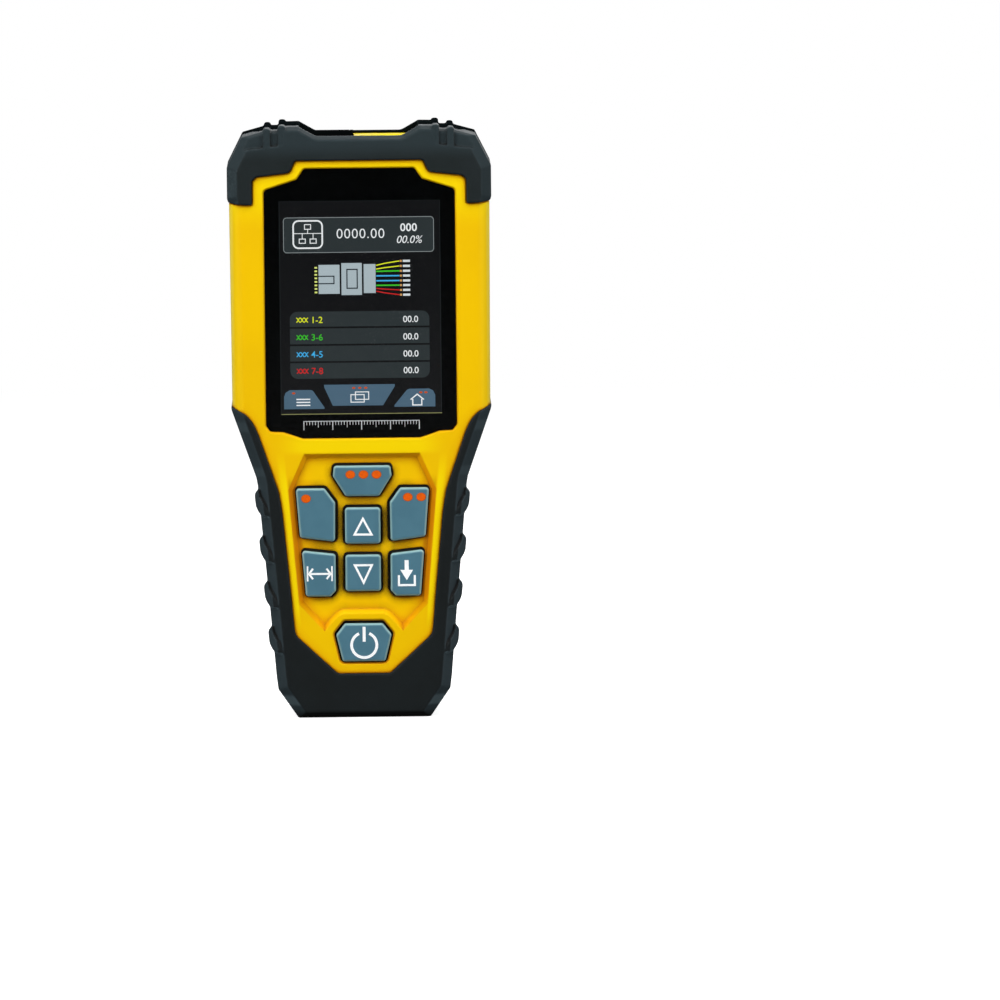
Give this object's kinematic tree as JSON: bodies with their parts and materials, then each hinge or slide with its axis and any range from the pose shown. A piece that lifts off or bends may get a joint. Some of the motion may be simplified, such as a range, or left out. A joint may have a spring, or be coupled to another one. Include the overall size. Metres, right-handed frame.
{
  "type": "cable length meter",
  "caption": "Hand-held cable length meter: rubber-clad plastic case with a tall colour display, a keypad, a battery door, and a coaxial jack and covered modular socket in its top end.",
  "frame": {"origin": "middle of the underside of the box round the meter, as it stands on its flat lower end", "axes": "+Z along the meter, from the handle to the sockets; the display looks towards -Y; +X is to the right for someone who reads the display"},
  "size_m": [0.0878, 0.04, 0.1979],
  "materials": {
    "shell_yellow": "satin",
    "rubber_black": "matte",
    "key_slate": "satin",
    "window_glass": "polished",
    "display_dark": "gloss",
    "gasket_foam": "matte",
    "ribbon_amber": "satin",
    "board_green": "satin",
    "mat_rubber": "matte",
    "inner_dark": "matte",
    "trim_black": "satin",
    "insulator_white": "satin",
    "nickel": "polished",
    "contact_brass": "polished",
    "screw_steel": "satin",
    "cell_jacket": "satin"
  },
  "bodies": {
    "case": {"front_housing": "shell_yellow", "rear_housing": "shell_yellow", "top_guard_front": "rubber_black", "top_guard_rear": "rubber_black", "handle_grip_front": "rubber_black", "handle_grip_rear": "rubber_black", "lens_gasket": "gasket_foam", "display_lens": "window_glass", "display_frame": "inner_dark", "display_panel": "display_dark", "display_ribbon": "ribbon_amber", "main_board": "board_green", "board_chips": "inner_dark", "buzzer": "inner_dark", "tact_switches": "inner_dark", "keypad_mat": "mat_rubber", "jack_well": "shell_yellow", "coax_jack": "nickel", "coax_insulator": "insulator_white", "coax_contact": "contact_brass", "coax_nut": "nickel", "socket_frame": "trim_black", "modular_socket": "inner_dark", "socket_contacts": "contact_brass", "battery_cells": "cell_jacket", "battery_contacts": "nickel", "battery_springs": "nickel", "case_screws": "screw_steel", "board_screws": "screw_steel"},
    "battery_door": {"battery_door": "trim_black"},
    "door_screw": {"door_screw": "screw_steel"},
    "socket_cover": {"socket_cover": "trim_black"},
    "key_menu_left": {"key_menu_left": "key_slate"},
    "key_menu_center": {"key_menu_center": "key_slate"},
    "key_menu_right": {"key_menu_right": "key_slate"},
    "key_up": {"key_up": "key_slate"},
    "key_down": {"key_down": "key_slate"},
    "key_measure": {"key_measure": "key_slate"},
    "key_save": {"key_save": "key_slate"},
    "key_power": {"key_power": "key_slate"}
  },
  "joints": [
    {"name": "key_menu_left_press", "type": "slide", "parent": "case", "child": "key_menu_left", "axis": [0, 1, 0], "range_m": [0, 0.0007], "stiffness_N_per_m": 2500},
    {"name": "key_menu_center_press", "type": "slide", "parent": "case", "child": "key_menu_center", "axis": [0, 1, 0], "range_m": [0, 0.0007], "stiffness_N_per_m": 2500},
    {"name": "key_menu_right_press", "type": "slide", "parent": "case", "child": "key_menu_right", "axis": [0, 1, 0], "range_m": [0, 0.0007], "stiffness_N_per_m": 2500},
    {"name": "key_up_press", "type": "slide", "parent": "case", "child": "key_up", "axis": [0, 1, 0], "range_m": [0, 0.0007], "stiffness_N_per_m": 2500},
    {"name": "key_down_press", "type": "slide", "parent": "case", "child": "key_down", "axis": [0, 1, 0], "range_m": [0, 0.0007], "stiffness_N_per_m": 2500},
    {"name": "key_measure_press", "type": "slide", "parent": "case", "child": "key_measure", "axis": [0, 1, 0], "range_m": [0, 0.0007], "stiffness_N_per_m": 2500},
    {"name": "key_save_press", "type": "slide", "parent": "case", "child": "key_save", "axis": [0, 1, 0], "range_m": [0, 0.0007], "stiffness_N_per_m": 2500},
    {"name": "key_power_press", "type": "slide", "parent": "case", "child": "key_power", "axis": [0, 1, 0], "range_m": [0, 0.0007], "stiffness_N_per_m": 2500},
    {"name": "battery_door_hinge", "type": "hinge", "parent": "case", "child": "battery_door", "pos_m": [0, 0.0176, 0.0956], "axis": [1, 0, 0], "range_deg": [0, 75]},
    {"name": "door_screw_turn", "type": "hinge", "parent": "battery_door", "child": "door_screw", "pos_m": [0, 0.018, 0.0312], "axis": [0, 1, 0], "continuous": true},
    {"name": "socket_cover_hinge", "type": "hinge", "parent": "case", "child": "socket_cover", "pos_m": [-0.0102, 0.0079, 0.1941], "axis": [-1, 0, 0], "range_deg": [0, 120]}
  ]
}
